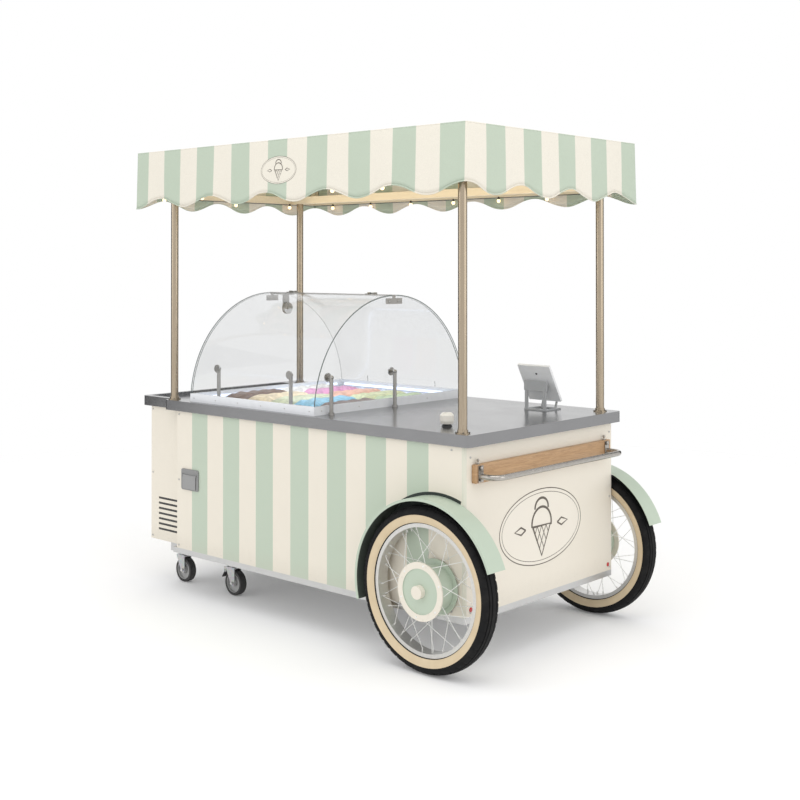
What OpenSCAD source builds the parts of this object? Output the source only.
// Push vending cart for gelato: two big spoked wheels, swivel casters, striped cabinet, steel counter,
// glass dome over ten pans, striped awning on four poles, oak push handle. Millimetres, +Z up, the
// customer's side faces -Y and the handle end faces +X. The floor is z = 0 and the plan's middle is 0, 0.

/* [Canopy poles] */
// Spacing of the two front poles, along the cart
pole_span_x = 1890; // [1800:5:2400]
// Spacing of the poles, across the cart
pole_span_y = 1015; // [960:5:1200]
// How much further left the rear left pole stands than the front left one
rear_pole_offset = 150; // [0:5:160]
// Pole diameter
pole_d = 38; // [25:1:45]
// Diameter of the foot flange of a pole
pole_foot_d = 62; // [56:1:64]

/* [Counter] */
// Height of the worktop above the floor
counter_h = 975; // [900:5:1150]
// Height of the worktop's folded edge
counter_edge = 50; // [30:1:70]
// Overhang of the worktop past the poles, at the handle end
counter_over_right = 62; // [50:1:90]
// Overhang of the worktop past the poles, at the front
counter_over_front = 40; // [36:1:60]
// Overhang of the worktop past the poles, at the back
counter_over_back = 85; // [60:1:120]
// Length of the set-back part at the left end
set_back_len = 250; // [230:5:320]
// Depth of that set-back
set_back = 50; // [10:1:55]
// Radius of the worktop's corners
counter_corner_r = 20; // [4:1:30]
// Sheet thickness of worktop and cabinet
sheet = 2; // [1.5:0.5:3]
// Depth of the sunk tray at the left end
tray_depth = 20; // [5:1:40]

/* [Cabinet] */
// Overhang of the worktop over the cabinet, at the front
lip_front = 12; // [6:1:30]
// Overhang of the worktop over the cabinet, at the handle end
lip_right = 30; // [10:1:45]
// Overhang of the worktop over the cabinet, at the back
lip_back = 40; // [10:1:50]
// Overhang of the worktop over the cabinet, at the left end
lip_left = 60; // [10:1:90]
// Height of the cabinet's underside above the floor
cabinet_bottom = 236; // [220:1:300]
// Height of the frame's edge rail
rail_h = 27; // [20:1:40]
// Number of louvre slots
louvre_count = 7; // [3:1:9]
// Width of a louvre slot
louvre_w = 180; // [100:5:185]
// Height of a louvre slot
louvre_h = 11; // [6:1:14]
// Distance from slot to slot
louvre_pitch = 26.6; // [20:0.1:30]

/* [Rear doors] */
// Width of each rear door
door_w = 520; // [400:5:540]
// Height of each rear door
door_h = 560; // [400:5:600]
// Thickness of a door
door_t = 18; // [12:1:20]

/* [Glass dome] */
// Outer radius of the dome
dome_r = 540; // [530:1:545]
// Length of the dome, along the cart
dome_len = 890; // [885:5:960]
// Distance from the poles at the handle end to the dome
dome_from_right = 860; // [700:5:900]
// Glass thickness
glass_t = 6; // [4:1:8]
// Height of the white rail round the dome's foot
dome_rail_h = 40; // [25:1:60]
// Width of that rail
dome_rail_w = 16; // [10:1:20]

/* [Gelato pans] */
// Width of a pan
pan_w = 165; // [120:1:166]
// Length of a pan
pan_l = 360; // [300:1:366]
// Depth of a pan
pan_h = 120; // [80:5:150]
// Pans in a row
pan_cols = 5; // [5:1:5]
// Gap between neighbouring pans
pan_gap = 4; // [3:0.5:5]
// Depth of the cold well under the worktop
well_depth = 175; // [155:5:200]
// Foam thickness round the well
foam_t = 50; // [30:5:60]

/* [Big wheels] */
// Outer radius of a big wheel
wheel_r = 340; // [300:5:360]
// Width of its tyre
tyre_w = 88; // [50:1:100]
// Radius at which tyre and rim meet
rim_r = 270; // [240:1:280]
// Distance of the wheels from the poles at the handle end
wheel_from_right = 112; // [80:1:160]
// Gap between tyre and cabinet
wheel_gap = 10; // [8:1:40]
// Axle diameter
axle_d = 25; // [18:1:30]
// Spokes in a wheel
spoke_count = 36; // [24:4:48]
// Radial running clearance of shafts
running = 0.05; // [0.02:0.01:0.1]
// Gap between tyre and mudguard
guard_gap = 30; // [10:1:40]

/* [Casters] */
// Caster wheel diameter
caster_d = 125; // [100:5:140]
// Caster wheel width
caster_w = 36; // [28:1:44]
// Trail of the caster axle behind its swivel
caster_trail = 25; // [15:1:45]
// Distance of the left caster pair from the poles at the handle end
caster_left = 2030; // [1900:5:2050]
// Distance of the right caster pair from the poles at the handle end
caster_right = 1630; // [1400:5:1650]
// How far each caster stands in from the cabinet's side
caster_inset = 193; // [150:1:260]

/* [Awning] */
// Height of the awning's top
awning_top = 2238; // [2100:5:2400]
// Height of the valance's lowest points
valance_low = 1950; // [1850:5:2000]
// Height of the scallops
scallop_h = 48; // [20:1:70]
// Width of a stripe
stripe_w = 132; // [100:1:150]
// Overhang past the poles at the handle end
awning_right = 72; // [60:1:120]
// Overhang past the poles at the front
awning_front = 64; // [50:1:120]
// Overhang past the poles at the back
awning_back = 200; // [100:5:260]
// Overhang past the front left pole at the left end
awning_left = 234; // [210:1:300]
// Cloth thickness
cloth_t = 3; // [2:0.5:4]
// Bulbs on each long side
bulbs_long = 7; // [3:2:9]
// Bulbs on each short side
bulbs_short = 3; // [2:1:5]

/* [Push handle] */
// Height of the oak board
board_h = 76; // [60:1:90]
// Thickness of the oak board
board_t = 24; // [18:1:30]
// Height of the board's lower edge
board_z = 774; // [700:1:800]
// Handle tube diameter
bar_d = 24; // [18:1:30]
// Reach of the handle tube, from the board's face to its axis
bar_reach = 88; // [60:1:120]

/* [Counter pieces] */
// Width of the tablet
tablet_w = 182; // [160:1:240]
// Height of the tablet
tablet_h = 196; // [150:1:220]
// Thickness of the tablet
tablet_t = 12; // [8:1:16]
// Lean of the tablet from upright, degrees
tablet_lean = 30; // [15:1:40]
// Diameter of the light dimmer's knob
knob_d = 60; // [40:1:70]

/* [Hidden] */
$fn = 48;
// small clearance between pieces that move past each other
gap = 0.5;
// plan positions, measured from the front right pole
pole_r = pole_d / 2;
pole_wall = 2;
ct_right = counter_over_right;
ct_front = -counter_over_front;
ct_back = pole_span_y + counter_over_back;
ct_step = -pole_span_x - pole_foot_d / 2 - 1;
ct_left = ct_step - set_back_len;
under_ct = counter_h - counter_edge;
panel_top = under_ct + 12;
cab_right = ct_right - lip_right;
cab_front = ct_front + lip_front;
cab_back = ct_back - lip_back;
cab_left = ct_left + lip_left;
cab_step = ct_step + 90;
cab_mid_y = (cab_front + cab_back) / 2;
cab_corner_r = 14;
rail_w = 30;
rail_bottom = cabinet_bottom - rail_h;
rail_left = cab_step - 30;
post_w = 25;
// dome
dome_x1 = -dome_from_right;
dome_x0 = dome_x1 - dome_len;
dome_y = (ct_front + ct_back) / 2;
dome_z = counter_h;
dome_post_h = 170;
// pans and well
pan_pitch_x = pan_w + pan_gap;
pan_pitch_y = pan_l + pan_gap;
pan_mid_x = (dome_x0 + dome_x1) / 2;
rack_t = 4;
rack_top = counter_h + rack_t;
well_wall = 1.5;
well_x = pan_cols * pan_pitch_x / 2 + 4;
well_y = pan_pitch_y + 4;
// pan hanging depth below its rim, and the hole that takes it
pan_rim = 6;
pan_hole_x = pan_w - 2 * pan_rim;
pan_hole_y = pan_l - 2 * pan_rim;
// wheels
wheel_x = -wheel_from_right;
tyre_in = cab_front - wheel_gap;
tyre_mid = tyre_in - tyre_w / 2;
hub_face_r = 119;
hub_front = tyre_in - tyre_w - 12;
hub_back = tyre_in + 3;
cap_r = 27;
cap_out = 22;
cap_front = hub_front - cap_out;
rim_in_r = rim_r - 16;
rim_half_w = 29;
guard_r = wheel_r + guard_gap;
guard_t = 3;
guard_w = wheel_gap + tyre_w + 4;
guard_from = 20;
guard_sweep = 175;
// casters
caster_z = caster_d / 2;
caster_plate_z = 165;
caster_y1 = cab_front + caster_inset;
caster_y2 = cab_back - caster_inset;
casters = [[-caster_left, caster_y1], [-caster_right, caster_y1],
           [-caster_left, caster_y2], [-caster_right, caster_y2]];
// awning
aw_right = awning_right;
aw_left = -pole_span_x - awning_left;
aw_front = -awning_front;
aw_back = pole_span_y + awning_back;
beam = 40;
beam_z = valance_low + 60;
aw_edge = 30;
// doors
door_gap_y = 3;
door_z = cabinet_bottom + 60;
door_split = 6;
doors_mid = wheel_x - guard_r - door_w - 60;
hinge_r = 5;
hinge_pin_r = 3;
hinge_off = 6;
hinge_y = cab_back + 10;
hinge_h = 60;
hinge_zs = [door_z + 90, door_z + door_h - 90 - hinge_h];
// handle
board_y0 = cab_front + 46;
board_y1 = cab_back - 44;
bar_z = board_z + 28;
bar_x = cab_right + board_t + bar_reach;
bar_bend = 45;
bar_y0 = board_y0 + 26;
bar_y1 = board_y1 - 36;
// tablet
tab_x = -250;
stand_y = 850;
tilt_y = stand_y + 16;
tilt_z = counter_h + 118;
// inlet in the front panel
inlet_w = 132;
inlet_h = 104;
inlet_x = cab_step + 107;
inlet_z = 588;
// knob
knob_x = -190;
knob_y = 128;
knob_z = counter_h + 12;
// fan behind the louvres
fan_x = (cab_left + cab_step) / 2;
fan_y = cab_front + set_back + 118;
fan_z = cabinet_bottom + 150;
fan_r = 95;
// overall box, which centres the part on its own origin
box_x0 = min(ct_left, aw_left);
box_x1 = wheel_x + (guard_r + guard_t) * cos(guard_from);
box_y0 = min(cap_front, aw_front);
box_y1 = max(2 * cab_mid_y - cap_front, aw_back);

module box(a, b) {
    translate(a) cube(b - a);
}

// cylinder along +Y from a to b
module rod_y(r, x, z, a, b) {
    translate([x, b, z]) rotate([90, 0, 0]) cylinder(r = r, h = b - a);
}

// cylinder along +X from a to b
module rod_x(r, y, z, a, b) {
    translate([a, y, z]) rotate([0, 90, 0]) cylinder(r = r, h = b - a);
}

// rectangle with round corners, made of exact pieces
module round_rect(x0, y0, x1, y1, r) {
    translate([x0 + r, y0]) square([x1 - x0 - 2 * r, y1 - y0]);
    translate([x0, y0 + r]) square([x1 - x0, y1 - y0 - 2 * r]);
    for (x = [x0 + r, x1 - r], y = [y0 + r, y1 - r]) translate([x, y]) circle(r = r);
}

// profile of radius against axis, turned round an axle along Y
module turned_y(x, z) {
    translate([x, 0, z]) rotate([90, 0, 0]) rotate_extrude($fn = 96) children();
}

module mirror_side() {
    translate([0, 2 * cab_mid_y, 0]) mirror([0, 1, 0]) children();
}

// plan of the counter, shrunk by d on every side
module counter_plan(d, r) {
    round_rect(ct_step + d, ct_front + d, ct_right - d, ct_back - d, r);
    round_rect(ct_left + d, ct_front + set_back + d, ct_right - d, ct_back - d, r);
}

module cabinet_plan(d) {
    translate([cab_step + d, cab_front + d])
        square([cab_right - cab_step - 2 * d, cab_back - cab_front - 2 * d]);
    translate([cab_left + d, cab_front + set_back + d])
        square([cab_right - cab_left - 2 * d, cab_back - cab_front - set_back - 2 * d]);
}

// welded frame: edge rails, cross members, floor sheet and uprights
module chassis_frame() {
    color("silver") {
        box([rail_left, cab_front, rail_bottom], [cab_right, cab_front + rail_w, cabinet_bottom]);
        box([rail_left, cab_back - rail_w, rail_bottom], [cab_right, cab_back, cabinet_bottom]);
        for (x = [rail_left, -caster_right - rail_w / 2, -pole_span_x / 2, cab_right - rail_w])
            box([x, cab_front, rail_bottom], [x + rail_w, cab_back, cabinet_bottom]);
        for (y = [cab_front + 240, cab_back - 270])
            box([cab_left + 12, y, rail_bottom], [rail_left, y + rail_w, cabinet_bottom]);
        for (x = [-caster_left, -caster_right])
            box([x - 25, caster_y1 - 60, caster_plate_z], [x + 25, caster_y2 + 60, rail_bottom]);
        translate([0, 0, cabinet_bottom]) linear_extrude(sheet) difference() {
            cabinet_plan(sheet + 0.2);
            translate([cab_right - cab_corner_r, cab_front]) square([cab_corner_r, cab_corner_r]);
        }
        for (y = [cab_front + sheet + 1, cab_back - sheet - 1 - post_w],
             x = [cab_step + sheet + 2, -pole_span_x / 2, cab_right - sheet - 16 - post_w])
            box([x, y, cabinet_bottom + sheet], [x + post_w, y + post_w, counter_h - sheet]);
    }
}

module front_panel() {
    r = cab_corner_r;
    color("beige") difference() {
        union() {
            box([cab_step, cab_front, cabinet_bottom], [cab_right - r, cab_front + sheet, panel_top]);
            box([cab_step, cab_front, cabinet_bottom], [cab_step + sheet, cab_front + set_back, panel_top]);
            translate([cab_right - r, cab_front + r, cabinet_bottom]) difference() {
                intersection() {
                    cylinder(r = r, h = panel_top - cabinet_bottom);
                    translate([0, -r, 0]) cube([r, r, panel_top - cabinet_bottom]);
                }
                translate([0, 0, -1]) cylinder(r = r - sheet, h = panel_top - cabinet_bottom + 2);
            }
        }
        rod_y(axle_d / 2 + 4, wheel_x, wheel_r, cab_front - 1, cab_front + sheet + 1);
        box([inlet_x - inlet_w / 2 + 14, cab_front - 1, inlet_z - inlet_h / 2 + 14],
            [inlet_x + inlet_w / 2 - 14, cab_front + sheet + 1, inlet_z + inlet_h / 2 - 14]);
    }
}

module end_panels() {
    color("beige") {
        box([cab_right - sheet, cab_front + cab_corner_r, cabinet_bottom], [cab_right, cab_back, panel_top]);
        box([cab_left, cab_front + set_back, cabinet_bottom], [cab_left + sheet, cab_back, panel_top]);
    }
}

module service_panel() {
    y = cab_front + set_back;
    x0 = cab_left + 62;
    color("beige") difference() {
        box([cab_left + sheet, y, cabinet_bottom], [cab_step, y + sheet, panel_top]);
        for (i = [0:louvre_count - 1])
            box([x0, y - 1, cabinet_bottom + 52 + i * louvre_pitch],
                [x0 + louvre_w, y + sheet + 1, cabinet_bottom + 52 + i * louvre_pitch + louvre_h]);
    }
}

module rear_panel() {
    color("beige") difference() {
        box([cab_left + sheet, cab_back - sheet, cabinet_bottom], [cab_right - sheet, cab_back, panel_top]);
        for (s = [-1, 1])
            translate([doors_mid + s * (door_w + door_split) / 2 - door_w / 2 + 20,
                       cab_back - sheet - 1, door_z + 20])
                cube([door_w - 40, sheet + 2, door_h - 40]);
        rod_y(axle_d / 2 + 4, wheel_x, wheel_r, cab_back - sheet - 1, cab_back + 1);
    }
    // fixed leaves, knuckles and pins of the door hinges
    color("silver") for (s = [-1, 1], z = hinge_zs) {
        axis = doors_mid + s * (door_split / 2 + door_w + hinge_off);
        translate([axis, hinge_y, z]) {
            for (k = [0, 40.5]) translate([0, 0, k]) cylinder(r = hinge_r, h = 19.5);
            cylinder(r = hinge_pin_r, h = hinge_h);
            for (k = [0, 40.5])
                translate([-2, cab_back + sheet - hinge_y, k]) cube([4, hinge_y - cab_back - sheet, 19.5]);
        }
        box([min(axis - 4 * s, axis + 26 * s), cab_back, z],
            [max(axis - 4 * s, axis + 26 * s), cab_back + sheet, z + hinge_h]);
    }
}

// one door, hinged at its outer edge: s = -1 is the left one, s = 1 the right one
module rear_door(s) {
    inner = doors_mid + s * door_split / 2;
    edge = inner + s * door_w;
    axis = edge + s * hinge_off;
    y0 = cab_back + door_gap_y;
    color("beige") difference() {
        box([min(inner, edge), y0, door_z], [max(inner, edge), y0 + door_t, door_z + door_h]);
        box([min(inner, edge) + 12, y0 - 1, door_z + 12], [max(inner, edge) - 12, y0 + door_t - sheet, door_z + door_h - 12]);
    }
    color("silver") {
        for (z = hinge_zs) translate([axis, hinge_y, z + 20]) difference() {
            union() {
                cylinder(r = hinge_r, h = 20);
                translate([s > 0 ? -hinge_off : 0, -2, 0]) cube([hinge_off, 4, 20]);
            }
            translate([0, 0, -1]) cylinder(r = hinge_pin_r + running, h = 22);
        }
        // pull handle
        hx = inner + s * 40;
        for (z = [-50, 50]) rod_y(5, hx, door_z + door_h - 150 + z, y0 + door_t, y0 + door_t + 26);
        translate([hx, y0 + door_t + 26, door_z + door_h - 150 - 60]) cylinder(r = 6, h = 120);
    }
}

// sunk tray at the left end, and the opening of the cold well
tray_x0 = ct_left + 22;
tray_x1 = dome_x0 - 60;
tray_y0 = ct_front + set_back + 34;
tray_y1 = pole_span_y - pole_foot_d / 2 - 14;

module countertop() {
    color("darkgray") {
        difference() {
            translate([0, 0, under_ct]) linear_extrude(counter_edge) counter_plan(0, counter_corner_r);
            translate([0, 0, under_ct - 1]) linear_extrude(counter_edge + 1 - sheet)
                counter_plan(sheet, counter_corner_r - sheet);
            box([pan_mid_x - well_x, dome_y - well_y, under_ct], [pan_mid_x + well_x, dome_y + well_y, counter_h + 1]);
            box([tray_x0, tray_y0, under_ct], [tray_x1, tray_y1, counter_h + 1]);
        }
        // tray let into the sheet
        difference() {
            box([tray_x0, tray_y0, counter_h - tray_depth], [tray_x1, tray_y1, counter_h]);
            box([tray_x0 + sheet, tray_y0 + sheet, counter_h - tray_depth + sheet],
                [tray_x1 - sheet, tray_y1 - sheet, counter_h + 1]);
        }
    }
}

module well_tub() {
    z0 = counter_h - sheet - well_depth;
    z1 = counter_h - sheet;
    color("lightgray") difference() {
        union() {
            box([pan_mid_x - well_x, dome_y - well_y, z0], [pan_mid_x + well_x, dome_y + well_y, z1]);
            box([pan_mid_x - well_x - 20, dome_y - well_y - 20, z1 - well_wall],
                [pan_mid_x + well_x + 20, dome_y + well_y + 20, z1]);
        }
        box([pan_mid_x - well_x + well_wall, dome_y - well_y + well_wall, z0 + well_wall],
            [pan_mid_x + well_x - well_wall, dome_y + well_y - well_wall, z1 + 1]);
    }
}

module insulation() {
    z0 = counter_h - sheet - well_depth;
    color("khaki") difference() {
        box([pan_mid_x - well_x - foam_t, dome_y - well_y - foam_t, z0 - foam_t],
            [pan_mid_x + well_x + foam_t, dome_y + well_y + foam_t, under_ct - 6]);
        box([pan_mid_x - well_x, dome_y - well_y, z0],
            [pan_mid_x + well_x, dome_y + well_y, counter_h]);
    }
}

function pan_at(i) = [pan_mid_x + (i % pan_cols - (pan_cols - 1) / 2) * pan_pitch_x,
                      dome_y + (floor(i / pan_cols) - 0.5) * pan_pitch_y];

module pan_rack() {
    color("white") difference() {
        box([dome_x0 + dome_rail_w + 2, dome_y - dome_r + dome_rail_w + 8, counter_h],
            [dome_x1 - dome_rail_w - 2, dome_y + dome_r - dome_rail_w - 8, rack_top]);
        for (i = [0:2 * pan_cols - 1]) translate([pan_at(i)[0], pan_at(i)[1], 0])
            box([-pan_hole_x / 2, -pan_hole_y / 2, counter_h - 1], [pan_hole_x / 2, pan_hole_y / 2, rack_top + 1]);
        for (p = dome_post_spots) translate([p[0], p[1], counter_h - 1]) cylinder(r = 15, h = rack_t + 2);
    }
}

// a pan that hangs by its rim, and the gelato in it
module pan(i) {
    wall = 1;
    z = rack_top + gap;
    wx = pan_hole_x / 2 - 1.5;
    wy = pan_hole_y / 2 - 1.5;
    translate([pan_at(i)[0], pan_at(i)[1], z]) {
        color("lightgray") difference() {
            union() {
                box([-pan_w / 2, -pan_l / 2, 0], [pan_w / 2, pan_l / 2, wall]);
                box([-wx, -wy, -pan_h], [wx, wy, wall]);
            }
            box([-wx + wall, -wy + wall, -pan_h + wall], [wx - wall, wy - wall, wall + 1]);
        }
        color("linen")
            box([-wx + wall, -wy + wall, -pan_h + wall], [wx - wall, wy - wall, -12]);
    }
}

// compressor, condenser and fan shroud on one tray
module condensing_unit() {
    z = cabinet_bottom + sheet;
    color("dimgray") {
        box([fan_x - 115, fan_y - 80, z], [fan_x + 115, fan_y + 420, z + 3]);
        difference() {
            box([fan_x - 110, fan_y - 78, z + 3], [fan_x + 110, fan_y - 22, fan_z + 110]);
            rod_y(fan_r + 6, fan_x, fan_z, fan_y - 40, fan_y - 21);
        }
        translate([fan_x, fan_y + 270, z + 3]) cylinder(r = 88, h = 150);
        translate([fan_x, fan_y + 270, z + 153]) difference() {
            sphere(r = 88);
            translate([-100, -100, -200]) cube(200);
        }
        // fan motor on a bridge, with its shaft
        rod_y(32, fan_x, fan_z, fan_y + 34, fan_y + 90);
        rod_y(4, fan_x, fan_z, fan_y - 12, fan_y + 34);
        box([fan_x - 32, fan_y + 50, z + 3], [fan_x + 32, fan_y + 74, fan_z - 25]);
    }
}

module fan() {
    color("black") difference() {
        union() {
            rod_y(20, fan_x, fan_z, fan_y - 8, fan_y + 30);
            for (k = [0:4]) translate([fan_x, fan_y + 10, fan_z]) rotate([0, 72 * k, 0])
                rotate([0, 0, 28]) translate([-22, -1, 15]) cube([44, 2, fan_r - 20]);
        }
        rod_y(4 + running, fan_x, fan_z, fan_y - 9, fan_y + 31);
    }
}

// half tube round the dome's axis, from angle a0, sweeping a
module arch(r, t, x0, x1, a0, a) {
    translate([x0, dome_y, dome_z]) rotate([90, 0, 90])
        rotate([0, 0, a0]) rotate_extrude(angle = a, $fn = 128)
            translate([r - t, 0]) square([t, x1 - x0]);
}

ridge_half = 14;
ridge_deg = asin(ridge_half / dome_r);
foot_deg = asin((dome_rail_h + 1) / dome_r);

// axis of the rear lid's hinges
lid_axis_y = dome_y + ridge_half + 0.5;
lid_axis_z = dome_z + dome_r + 5;
lid_hinge_xs = [dome_x0 + 130, dome_x1 - 190];

module dome_front_glass() {
    color("lightblue", 0.3) arch(dome_r, glass_t, dome_x0, dome_x1, 90 + ridge_deg, 90 - ridge_deg - foot_deg);
}

module dome_rear_lid() {
    color("lightblue", 0.3) arch(dome_r, glass_t, dome_x0, dome_x1, foot_deg, 90 - ridge_deg - foot_deg);
    // bar along the free edge, with a grip
    color("silver") arch(dome_r + 4, 4, dome_x0 + 200, dome_x1 - 200, foot_deg, 3);
    // hinge leaves and their knuckles
    color("silver") for (x = lid_hinge_xs) difference() {
        union() {
            rod_x(4, lid_axis_y, lid_axis_z, x + 18.5, x + 42);
            box([x + 18.5, lid_axis_y, dome_z + dome_r - 1], [x + 42, lid_axis_y + 24, lid_axis_z - 2]);
        }
        rod_x(2 + running, lid_axis_y, lid_axis_z, x + 18, x + 43);
    }
}

module dome_end_panes() {
    r = dome_r - glass_t - 1.5;
    color("lightblue", 0.3) for (x = [dome_x0 + 3, dome_x1 - 3 - glass_t])
        difference() {
            rod_x(r, dome_y, dome_z, x, x + glass_t, $fn = 128);
            box([x - 1, dome_y - r - 1, dome_z - r - 1], [x + glass_t + 1, dome_y + r + 1, dome_z + dome_rail_h + 1]);
        }
}

module dome_base_rail() {
    y0 = dome_y - dome_r;
    y1 = dome_y + dome_r;
    color("white", 0.8) difference() {
        box([dome_x0, y0, counter_h], [dome_x1, y1, counter_h + dome_rail_h]);
        box([dome_x0 + dome_rail_w, y0 + dome_rail_w + 2, counter_h - 1],
            [dome_x1 - dome_rail_w, y1 - dome_rail_w - 2, counter_h + dome_rail_h + 1]);
    }
}

// foot of each clamp post, and the direction of its disc
dome_post_spots = [[dome_x0 + 155, dome_y - dome_r + 55], [dome_x1 - 212, dome_y - dome_r + 55]];
outer_posts = [[dome_x1 + 24, dome_y - dome_r + 88], [dome_x1 + 24, dome_y - 22]];

module clamp_post(p, dir, z0) {
    z1 = dome_z + dome_post_h;
    translate([p[0], p[1], z0]) cylinder(r = 9, h = z1 - z0);
    translate([p[0], p[1], z0]) cylinder(r = 14, h = 10);
    translate([p[0], p[1], z1]) sphere(r = 11);
    reach = dir[1] < 0 ? p[1] - (dome_y - sqrt(pow(dome_r - glass_t, 2) - pow(dome_post_h + 20, 2))) - 1
          : p[0] - dome_x1 + 3 - 0.5;
    translate([p[0], p[1], z1]) rotate(dir[1] < 0 ? [90, 0, 0] : [0, -90, 0]) {
        cylinder(r = 6, h = reach);
        translate([0, 0, reach - 6]) cylinder(r = 20, h = 6);
    }
}

// clamp posts, and the ridge bar that carries both glasses, with a bracket at each end
module dome_fittings() {
    left_face = dome_x0 + 3 + glass_t;
    ridge_z = dome_z + dome_r;
    color("silver") {
        for (p = dome_post_spots) clamp_post(p, [0, -1], counter_h);
        for (p = outer_posts) clamp_post(p, [-1, 0], counter_h);
        box([dome_x0, dome_y - ridge_half + 1.5, ridge_z - glass_t], [dome_x1, dome_y + ridge_half - 1.5, ridge_z]);
        for (x = [dome_x1 - 3, left_face]) {
            half = x > left_face ? 57 : 40;
            box([x, dome_y - half, ridge_z - 45], [x + 4, dome_y + half, ridge_z - 17]);
            box([x, dome_y - 10, ridge_z - 21], [min(x + 4, dome_x1), dome_y + 10, ridge_z - glass_t]);
        }
        // bracket under the ridge, and its friction disc
        box([left_face + 20, dome_y - 12, ridge_z - glass_t - 6], [left_face + 160, dome_y + 12, ridge_z - glass_t]);
        box([left_face + 126, dome_y - 40, ridge_z - 100], [left_face + 134, dome_y, ridge_z - glass_t - 5]);
        rod_x(30, dome_y - 20, ridge_z - 82, left_face + 133, left_face + 150);
        rod_x(7, dome_y - 20, ridge_z - 82, left_face + 149, left_face + 154);
        for (x = lid_hinge_xs) {
            for (k = [0, 42.5]) {
                rod_x(4, lid_axis_y, lid_axis_z, x + k, x + k + 18);
                box([x + k, dome_y - 8, ridge_z - 1], [x + k + 18, dome_y + ridge_half - 0.5, lid_axis_z - 2]);
            }
            rod_x(2, lid_axis_y, lid_axis_z, x, x + 60);
        }
    }
}

module canopy_poles() {
    tops = [[0, 0], [-pole_span_x, 0], [0, pole_span_y], [-pole_span_x - rear_pole_offset, pole_span_y]];
    color("tan") for (p = tops) translate([p[0], p[1], counter_h]) {
        difference() {
            cylinder(r = pole_r, h = beam_z - counter_h);
            translate([0, 0, 4]) cylinder(r = pole_r - pole_wall, h = beam_z - counter_h);
        }
        cylinder(r = pole_foot_d / 2, h = 4);
        translate([0, 0, 4]) difference() {
            cylinder(r = pole_r + 4, h = 12);
            translate([0, 0, -1]) cylinder(r = pole_r - 0.5, h = 14);
        }
    }
}

// glue line of the frame, and sewn seam of the cloth's five panels
seam = 0.1;
module canopy_frame() {
    e = cloth_t + 1;
    top = awning_top - cloth_t;
    color("wheat") {
        // lower ring and top ring, each of four lengths with a glue line at the corners
        for (z = [[beam_z, beam_z + beam], [top - aw_edge, top]]) {
            for (y = [aw_front + e, aw_back - e - aw_edge])
                box([aw_left + e, y, z[0]], [aw_right - e, y + aw_edge, z[1]]);
            for (x = [aw_left + e, aw_right - e - aw_edge])
                box([x, aw_front + e + aw_edge + seam, z[0]], [x + aw_edge, aw_back - e - aw_edge - seam, z[1]]);
        }
        // beams over the poles, corner uprights and cross bars
        for (y = [0, pole_span_y])
            box([aw_left + e + aw_edge + seam, y - beam / 2, beam_z],
                [aw_right - e - aw_edge - seam, y + beam / 2, beam_z + beam]);
        for (x = [aw_left + e, aw_right - e - aw_edge], y = [aw_front + e, aw_back - e - aw_edge])
            box([x, y, beam_z + beam + seam], [x + aw_edge, y + aw_edge, top - aw_edge - seam]);
        for (k = [1, 2]) {
            x = aw_left + k * (aw_right - aw_left) / 3;
            box([x - aw_edge / 2, aw_front + e + aw_edge + seam, top - aw_edge],
                [x + aw_edge / 2, aw_back - e - aw_edge - seam, top]);
        }
    }
}

// outline of a valance of length len: the scallops start at the high point over a corner
function scallop_z(s) = valance_low + scallop_h * (1 + cos(360 * s / (3 * stripe_w))) / 2;
module valance(from, to) {
    n = ceil((to - from) / 33);
    pts = [for (i = [0:n]) [from + i * (to - from) / n, scallop_z(from + i * (to - from) / n)]];
    polygon(concat([[from, awning_top - cloth_t - seam]], pts, [[to, awning_top - cloth_t - seam]]));
}

module canopy_cloth() {
    lx = aw_right - aw_left;
    ly = aw_back - aw_front;
    color("beige") {
        box([aw_left, aw_front, awning_top - cloth_t], [aw_right, aw_back, awning_top]);
        for (y = [aw_front + cloth_t, aw_back])
            translate([aw_right, y, 0]) mirror([1, 0, 0]) rotate([90, 0, 0]) linear_extrude(cloth_t) valance(0, lx);
        for (x = [aw_left, aw_right - cloth_t])
            translate([x, aw_front, 0]) rotate([90, 0, 90]) linear_extrude(cloth_t)
                valance(cloth_t + seam, ly - cloth_t - seam);
    }
}

// clipped cable round the inside of the lower ring, with hanging bulbs
light_in = cloth_t + 1 + aw_edge;
cable_z = beam_z - 4;
module bulb() {
    translate([0, 0, -22]) cylinder(r = 11, h = 24);
    translate([0, 0, -36]) sphere(r = 19);
}

module string_lights() {
    x0 = aw_left + light_in;
    x1 = aw_right - light_in;
    y0 = aw_front + light_in;
    y1 = aw_back - light_in;
    color("black") {
        for (y = [y0, y1]) rod_x(3, y, cable_z, x0, x1);
        for (x = [x0, x1]) rod_y(3, x, cable_z, y0, y1);
    }
    color("lightyellow") {
        for (i = [0:bulbs_long - 1], y = [y0, y1])
            translate([x0 + (i + 0.5) * (x1 - x0) / bulbs_long, y, cable_z]) bulb();
        for (i = [0:bulbs_short - 1], x = [x0, x1])
            translate([x, y0 + (i + 0.5) * (y1 - y0) / bulbs_short, cable_z]) bulb();
    }
}

module handle_board() {
    color("burlywood") box([cab_right, board_y0, board_z], [cab_right + board_t, board_y1, board_z + board_h]);
}

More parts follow.
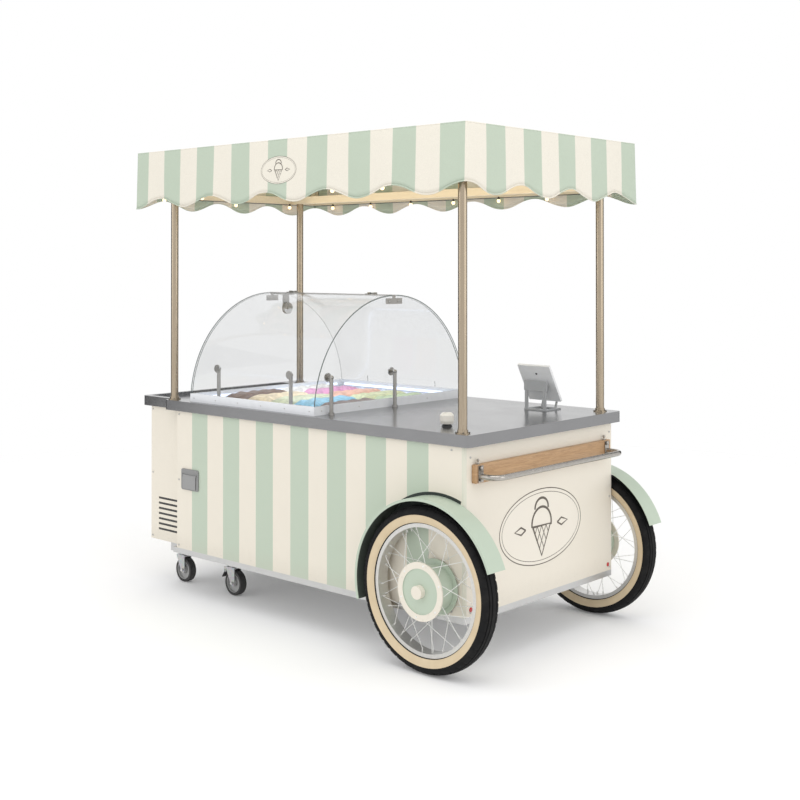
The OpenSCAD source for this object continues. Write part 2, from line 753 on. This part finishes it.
// tube bent twice, welded to a fixing plate at each end
module handle_bar() {
    x0 = cab_right + board_t;
    r = bar_d / 2;
    bend_x = bar_x - bar_bend;
    color("silver") {
        for (y = [bar_y0, bar_y1]) {
            box([x0, y - 16, board_z + 4], [x0 + 5, y + 16, board_z + board_h - 4]);
            rod_x(r, y, bar_z, x0 + 5, bend_x);
            for (z = [board_z + 16, board_z + board_h - 14]) rod_x(6, y, z, x0 + 5, x0 + 10);
        }
        rod_y(r, bar_x, bar_z, bar_y0 + bar_bend, bar_y1 - bar_bend);
        translate([bend_x, bar_y0 + bar_bend, bar_z]) rotate([0, 0, -90])
            rotate_extrude(angle = 90) translate([bar_bend, 0]) circle(r = r);
        translate([bend_x, bar_y1 - bar_bend, bar_z])
            rotate_extrude(angle = 90) translate([bar_bend, 0]) circle(r = r);
    }
}

// through axle, with a bearing block inside each side of the cabinet
module axle() {
    color("silver") {
        rod_y(axle_d / 2, wheel_x, wheel_r, hub_front + 4, 2 * cab_mid_y - hub_front - 4);
        for (y = [cab_front + 40, cab_back - 80])
            box([wheel_x - 45, y, cabinet_bottom + sheet], [wheel_x + 45, y + 40, wheel_r + 40]);
    }
}

// wheel pieces, drawn for the front wheel
module hub() {
    d = hub_back - hub_front;
    // round cap over the axle's end
    color("beige") turned_y(wheel_x, wheel_r)
        translate([0, -hub_front - 3]) square([cap_r, cap_out + 3]);
    color("aquamarine") turned_y(wheel_x, wheel_r) translate([0, -hub_back]) difference() {
        union() {
            square([96, d]);
            square([hub_face_r - 3, 5]);
            translate([0, d - 7]) square([hub_face_r, 7]);
        }
        square([axle_d / 2 + running, d - 3]);
        translate([0, d - 3]) square([92, 4]);
        translate([44, -1]) square([40, 40]);
    }
}

module spokes() {
    lean = 24;
    color("silver") for (i = [0:spoke_count - 1]) {
        side = i % 2;
        a = i * 360 / spoke_count;
        b = a + (floor(i / 2) % 2 == 0 ? lean : -lean);
        layer = floor(i / 2) % 2 == 0 ? 1.6 : -1.6;
        y0 = (side == 0 ? hub_front + 9 : hub_back - 2.5) + layer / 1.6;
        p = [(hub_face_r + 0.5) * cos(a), y0, (hub_face_r + 0.5) * sin(a)];
        q = [(rim_in_r - 1) * cos(b), tyre_mid + (side == 0 ? -8 : 8) + 2 * layer, (rim_in_r - 1) * sin(b)];
        v = q - p;
        translate([wheel_x, 0, wheel_r] + p)
            rotate([0, acos(v[2] / norm(v)), atan2(v[1], v[0])]) cylinder(r = 1.3, h = norm(v), $fn = 16);
    }
}

module rim() {
    color("silver") turned_y(wheel_x, wheel_r) translate([0, -tyre_mid]) difference() {
        translate([rim_in_r, -rim_half_w]) square([rim_r - rim_in_r, 2 * rim_half_w]);
        translate([rim_in_r + 5, -rim_half_w + 4]) square([rim_r - rim_in_r, 2 * rim_half_w - 8]);
    }
}

module tyre() {
    tube_r = tyre_w / 2;
    mid_r = wheel_r - tube_r;
    color("black") turned_y(wheel_x, wheel_r) translate([0, -tyre_mid]) difference() {
        union() {
            translate([mid_r, 0]) circle(r = tube_r, $fn = 64);
            translate([rim_r + 0.2, -rim_half_w]) square([mid_r - rim_r, 2 * rim_half_w]);
        }
        translate([mid_r, 0]) circle(r = tube_r - 7, $fn = 64);
        translate([rim_r - 20, -rim_half_w + 8]) square([mid_r - rim_r + 19, 2 * rim_half_w - 16]);
        translate([rim_r - 20, -rim_half_w - 20]) square([20.2, 2 * rim_half_w + 40]);
    }
}

module mudguard() {
    y1 = cab_front;
    translate([wheel_x, y1, wheel_r]) rotate([90, 0, 0]) rotate([0, 0, guard_from])
        rotate_extrude(angle = guard_sweep, $fn = 128) {
            translate([guard_r, 0]) square([guard_t, guard_w]);
            translate([guard_r - 8, guard_w - 3]) square([8.5, 3]);
        }
}

module mudguards() {
    color("aquamarine") {
        mudguard();
        mirror_side() mudguard();
    }
}

// caster at p: the swivel axis is vertical through p, the wheel trails towards +X
module caster_plates() {
    color("silver") for (p = casters) translate([p[0], p[1], 0]) {
        translate([-50, -42, caster_plate_z - 4]) cube([100, 84, 4]);
        translate([0, 0, caster_plate_z - 18]) cylinder(r = 9, h = 14);
    }
}

module caster_fork(i) {
    inside = caster_w / 2 + 2;
    color("silver") translate([casters[i][0], casters[i][1], 0]) {
        difference() {
            union() {
                translate([0, 0, caster_plate_z - 17]) cylinder(r = 26, h = 12.5);
                translate([-26, -inside - 3, caster_d + 8]) cube([caster_trail + 40, 2 * inside + 6, 6]);
                translate([0, 0, caster_d + 8]) cylinder(r = 18, h = caster_plate_z - 17 - caster_d - 8 + 1);
                for (y = [-inside - 3, inside]) hull() {
                    translate([-26, y, caster_d + 8]) cube([caster_trail + 40, 3, 3]);
                    translate([caster_trail, y + 3, caster_z]) rotate([90, 0, 0]) cylinder(r = 15, h = 3, $fn = 32);
                }
            }
            translate([0, 0, caster_plate_z - 18.5]) cylinder(r = 9 + running, h = 20);
            translate([0, 0, caster_plate_z - 30]) cylinder(r = 9.5, h = 12);
        }
        // ears of the brake pedal's pin
        if (i == 1) for (y = [-inside - 3, inside]) difference() {
            translate([-40, y, caster_d - 13]) cube([16, 3, 25]);
            rod_y(pedal_pin_r + running, -32, caster_d - 6, y - 1, y + 4);
        }
        rod_y(5, caster_trail, caster_z, -inside, inside);
        for (s = [-1, 1]) translate([caster_trail, s * (inside + 3), caster_z])
            rotate([s > 0 ? -90 : 90, 0, 0]) cylinder(r = 8, h = 5, $fn = 6);
    }
}

module caster_wheel(i) {
    translate([casters[i][0], casters[i][1], 0]) {
        color("black") turned_y(caster_trail, caster_z) translate([0, -caster_w / 2]) difference() {
            translate([caster_d / 2 - 17, 0]) square([17, caster_w]);
            translate([caster_d / 2 - 1.5, -1]) square([3, 5]);
            translate([caster_d / 2 - 1.5, caster_w - 4]) square([3, 5]);
        }
        color("lightgray") turned_y(caster_trail, caster_z) translate([0, -caster_w / 2]) {
            translate([5 + running, 1]) square([13, caster_w - 2]);
            translate([17, caster_w / 2 - 5]) square([caster_d / 2 - 34, 10]);
        }
    }
}

// foot brake: a pin in the fork's ears, and a curved pad beside the tyre
pedal_pin_r = 3.5;
module brake_pedal(i) {
    half = caster_w / 2 + 1.5;
    color("black") translate([casters[i][0] - 32, casters[i][1], caster_d - 6]) {
        rod_y(pedal_pin_r, 0, 0, -half - 3, half + 3);
        translate([0, -half, 0]) rotate([0, -55, 0]) translate([-46, 0, -3]) cube([46, 2 * half, 6]);
    }
}

module pos_stand() {
    w = 128;
    t = 8;
    x0 = tab_x - w / 2;
    color("gray") {
        difference() {
            box([x0, stand_y - 4, counter_h], [x0 + w, stand_y + 116, counter_h + 6]);
            box([x0 + 16, stand_y + 14, counter_h - 1], [x0 + w - 16, stand_y + 100, counter_h + 7]);
        }
        for (x = [x0 + 4, x0 + w - 20]) box([x, stand_y - 4, counter_h + 6], [x + 16, stand_y - 4 + t, tilt_z - 26]);
        box([x0, stand_y - 4, tilt_z - 26], [x0 + w, stand_y - 4 + t, tilt_z + 22]);
        // hinge ears
        for (x = [x0 + 20, x0 + w - 28]) difference() {
            box([x, stand_y + 4, tilt_z - 7], [x + 8, tilt_y + 7, tilt_z + 7]);
            rod_x(4 + running, tilt_y, tilt_z, x - 1, x + 9);
        }
        // front hooks
        for (x = [x0 + 20, x0 + w - 30])
            translate([x, stand_y + 104, counter_h + 6]) rotate([-20, 0, 0]) cube([10, 5, 34]);
    }
}

module tablet() {
    w = 128;
    x0 = tab_x - w / 2;
    translate([tab_x, tilt_y, tilt_z]) rotate([tablet_lean, 0, 0]) {
        color("whitesmoke") difference() {
            translate([-tablet_w / 2, 14, -tablet_h / 2]) cube([tablet_w, tablet_t, tablet_h]);
            translate([-tablet_w / 2 + 8, 13 + tablet_t, -tablet_h / 2 + 8]) cube([tablet_w - 16, 3, tablet_h - 16]);
        }
        color("gray") {
            translate([-35, -6, -8]) cube([70, 20, 16]);
        }
    }
    color("gray") rod_x(4, tilt_y, tilt_z, x0 + 18, x0 + w - 18);
}

module dimmer_knob() {
    color("beige") difference() {
        translate([knob_x, knob_y, knob_z]) {
            cylinder(r1 = knob_d / 2 - 5, r2 = knob_d / 2, h = 12);
            translate([0, 0, 12]) cylinder(r = knob_d / 2, h = 24);
            translate([0, 0, 36]) cylinder(r1 = knob_d / 2, r2 = knob_d / 2 - 9, h = 10);
        }
        translate([knob_x, knob_y, knob_z - 1]) cylinder(r = 6 + running, h = 25);
    }
}

module dimmer_base() {
    color("black") translate([knob_x, knob_y, counter_h]) {
        cylinder(r1 = 24, r2 = 14, h = 11.5);
        translate([0, 0, 11.5]) cylinder(r = 6, h = 22);
    }
}

// recessed power inlet with a spring flap
flap_pin_r = 2.5;
flap_y = cab_front - 9;
flap_z = inlet_z + inlet_h / 2 - 30;
flap_w = inlet_w - 34;
module power_inlet() {
    w = inlet_w;
    h = inlet_h;
    color("darkgray") {
        difference() {
            union() {
                translate([inlet_x, cab_front, inlet_z]) rotate([90, 0, 0]) linear_extrude(6)
                    round_rect(-w / 2, -h / 2, w / 2, h / 2, 10);
                box([inlet_x - w / 2 + 14.5, cab_front, inlet_z - h / 2 + 14.5],
                    [inlet_x + w / 2 - 14.5, cab_front + 45, inlet_z + h / 2 - 14.5]);
            }
            box([inlet_x - w / 2 + 17, cab_front - 7, inlet_z - h / 2 + 17],
                [inlet_x + w / 2 - 17, cab_front + 42, inlet_z + h / 2 - 35]);
        }
        for (s = [-1, 1]) difference() {
            translate([inlet_x + s * (flap_w / 2 + 3.5) - 3, flap_y - 4, flap_z - 5]) cube([6, 7, 10]);
            rod_x(flap_pin_r + running, flap_y, flap_z, inlet_x + s * (flap_w / 2 + 3.5) - 4,
                  inlet_x + s * (flap_w / 2 + 3.5) + 4);
        }
    }
    color("silver") for (x = [-12, 0, 12]) rod_y(2.4, inlet_x + x, inlet_z - 8, cab_front + 20, cab_front + 42);
}

module inlet_flap() {
    color("darkgray") {
        box([inlet_x - flap_w / 2, flap_y - 1.5, inlet_z - inlet_h / 2 + 6], [inlet_x + flap_w / 2, flap_y + 1.5, flap_z]);
        rod_x(flap_pin_r, flap_y, flap_z, inlet_x - flap_w / 2 - 6, inlet_x + flap_w / 2 + 6);
    }
}

// names of all the pieces

// the middle of the overall plan is the origin
translate([-(box_x0 + box_x1) / 2, -(box_y0 + box_y1) / 2, 0]) {
    chassis_frame();
    front_panel();
    end_panels();
    service_panel();
    rear_panel();
    rear_door(-1);  // rear_door_left
    rear_door(1);  // rear_door_right
    countertop();
    well_tub();
    insulation();
    pan_rack();
    condensing_unit();
    fan();
    dome_front_glass();
    dome_rear_lid();
    dome_end_panes();
    dome_base_rail();
    dome_fittings();
    canopy_poles();
    canopy_frame();
    canopy_cloth();
    string_lights();
    handle_board();
    handle_bar();
    axle();
    mudguards();
    caster_plates();
    pos_stand();
    tablet();
    dimmer_base();
    dimmer_knob();
    power_inlet();
    inlet_flap();
    hub();  // hub_front
    spokes();  // spokes_front
    rim();  // rim_front
    tyre();  // tyre_front
    mirror_side() hub();  // hub_rear
    mirror_side() spokes();  // spokes_rear
    mirror_side() rim();  // rim_rear
    mirror_side() tyre();  // tyre_rear
    for (i = [0:3]) {
        caster_fork(i);
        caster_wheel(i);
    }
    brake_pedal(1);  // brake_pedal_2
    for (i = [0:2 * pan_cols - 1])
        pan(i);
}
